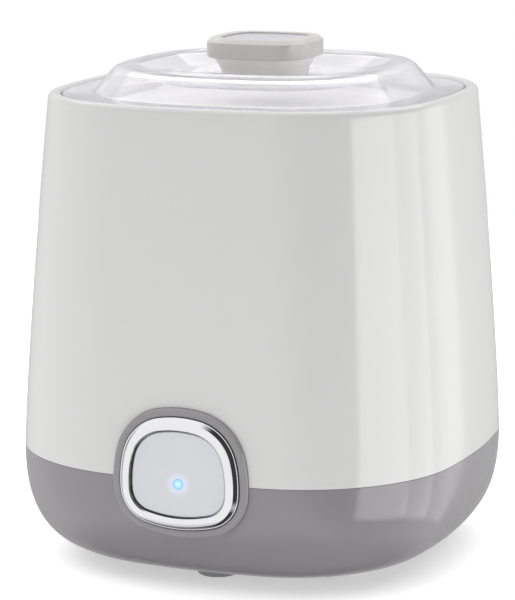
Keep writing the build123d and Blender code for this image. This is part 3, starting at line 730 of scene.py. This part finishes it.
# ---- Pot ----
# A milky polypropylene pot with a round heel, a slight taper and a rolled rim. It stands on the
# heating plate and lifts out.
pot_low, pot_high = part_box("yogurt_pot")
pot_wall = 0.002
under_rim = pot_high.z - 0.0025
pot_corners = [(0, pot_low.z, 0), (0.0505, pot_low.z, 0.0060), (0.0551, under_rim, 0.0006),
               (0.0570, under_rim, 0.0009), (0.0570, pot_high.z, 0.0012),
               (0.0533, pot_high.z, 0.0010), (0.0486, pot_low.z + pot_wall, 0.0045),
               (0, pot_low.z + pot_wall, 0)]
milky = moulded("milky_plastic", (0.70, 0.70, 0.68), roughness=0.28, shade=0.01, grain=0.05)
pot = to_object("pot", skin(soften(pot_corners, 8), rounded_square), milky)
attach(pot, "pot")
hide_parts("yogurt_pot")


# ---- Pot lid ----
# The cream push-on lid of the pot: a flat plate inside a raised border, and a skirt that grips
# the pot's rim, with a soft seal ring inside.
lid_low, lid_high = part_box("pot_lid")
pot_lid_corners = [(0, lid_high.z - 0.0008, 0), (0.0495, lid_high.z - 0.0008, 0.0004),
                   (0.0500, lid_high.z, 0.0004), (0.0592, lid_high.z, 0.0010),
                   (0.0592, lid_low.z, 0.0004), (0.0574, lid_low.z, 0.0004),
                   (0.0574, lid_high.z - 0.0020, 0.0004), (0, lid_high.z - 0.0020, 0)]
cream = moulded("cream_plastic", (0.90, 0.89, 0.85), roughness=0.30, shade=0.01, grain=0.05)
pot_lid = to_object("pot_cover", skin(soften(pot_lid_corners), rounded_square), cream)
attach(pot_lid, "pot_lid")
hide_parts("pot_lid")


# ---- Clear lid ----
# Clear polystyrene, moulded in one: a flat flange that lies in the housing's rim, a steep flank,
# a rounded crest and the dish that the knob stands in.
dome_low, dome_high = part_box("dome_lid")
dish_z = 0.1775
lid_wall = 0.0026
flange_top = dome_low.z + 0.0023
hole_r = 0.0021
dome_corners = [(hole_r, dish_z, 0), (0.0360, dish_z, 0.0040), (0.0445, dome_high.z, 0.0040),
                (0.0512, dome_high.z, 0.0065), (0.0593, flange_top, 0.0012),
                (0.0696, flange_top, 0.0006), (0.0696, dome_low.z, 0.0006),
                (0.0578, dome_low.z, 0.0010), (0.0501, dome_high.z - lid_wall, 0.0045),
                (0.0452, dome_high.z - lid_wall, 0.0015), (0.0367, dish_z - lid_wall, 0.0040),
                (hole_r, dish_z - lid_wall, 0), (hole_r, dish_z, 0)]
clear, tree, output = new_material("clear_polystyrene")
where = add(tree, "ShaderNodeTexCoord").outputs["Object"]
haze = add(tree, "ShaderNodeTexNoise", {"Vector": where, "Scale": 30.0, "Detail": 4.0})
polish = add(tree, "ShaderNodeMapRange", {"Value": haze.outputs["Fac"], "To Min": 0.02,
                                          "To Max": 0.09})
glassy = add(tree, "ShaderNodeBsdfPrincipled",
             {"Base Color": (0.93, 0.925, 0.955, 1), "Roughness": polish.outputs["Result"],
              "Transmission Weight": 0.84, "IOR": 1.45})
open_way = add(tree, "ShaderNodeBsdfTransparent", {"Color": (0.97, 0.97, 0.98, 1)})
rays = add(tree, "ShaderNodeLightPath")
blend = add(tree, "ShaderNodeMixShader", {0: rays.outputs["Is Shadow Ray"], 1: glassy.outputs[0],
                                          2: open_way.outputs[0]})
tree.links.new(blend.outputs[0], output.inputs["Surface"])
dome = to_object("clear_lid", skin(soften(dome_corners, 8), rounded_square), clear, crease=60)
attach(dome, "lid")
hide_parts("dome_lid")


# ---- Knob ----
# Light grey plastic in one piece: a flared neck, a band with a bevelled top edge, and
# a pocket that takes the flat cap. The neck is painted lighter and creamier than the band: painted
# light, standing for light thrown up onto it from the cream pot lid. A screw comes up through the
# lid into it. It casts no shadow, so the pot's lid stays bright below it.
knob_low, knob_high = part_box("lid_knob")
knob_plan = square_plan(bow=4.0, corner=0.5)
screw_end, band_z, bevel_z, pocket_z = 0.1870, 0.1846, 0.1903, 0.1896
knob_corners = [(0, screw_end, 0), (0.00195, screw_end, 0), (0.00195, knob_low.z, 0),
                (0.0144, knob_low.z, 0.0004), (0.0149, 0.1803, 0.0030), (0.0173, band_z, 0.0002),
                (0.0194, band_z, 0.0005), (0.0194, bevel_z, 0.0004), (0.0178, knob_high.z, 0.0005),
                (0.0148, knob_high.z, 0.0004), (0.0148, pocket_z, 0), (0, pocket_z, 0)]
warm_grey = moulded("warm_grey", (0.56, 0.55, 0.535), roughness=0.2, shade=0.01)
knob = to_object("knob", skin(soften(knob_corners), knob_plan), warm_grey)
# Painted light: the neck takes a lighter, creamier copy of the knob's plastic, standing for light
# from the cream pot lid below.
knob.data.materials.append(moulded("neck_painted_bounce", (0.80, 0.79, 0.75), roughness=0.3, shade=0.01))
# Faces below the band take the painted-light copy; the rest keep the knob's own grey.
for face in knob.data.polygons:
    face.material_index = int(face.center.z < band_z)
knob.visible_shadow = False
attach(knob, "lid")
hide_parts("lid_knob")

cap_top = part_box("knob_cap")[1].z
cap_bottom = cap_top - 0.0016
cap_corners = [(0, cap_top, 0), (0.0146, cap_top, 0.0003), (0.0146, cap_bottom, 0.0002),
               (0, cap_bottom, 0)]
cap_grey = moulded("cool_grey", (0.50, 0.49, 0.53), roughness=0.3, shade=0.01, grain=0.03)
cap = to_object("knob_plate", skin(soften(cap_corners), knob_plan), cap_grey)
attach(cap, "lid")
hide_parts("knob_cap")
dress(zinc, "knob_screw")
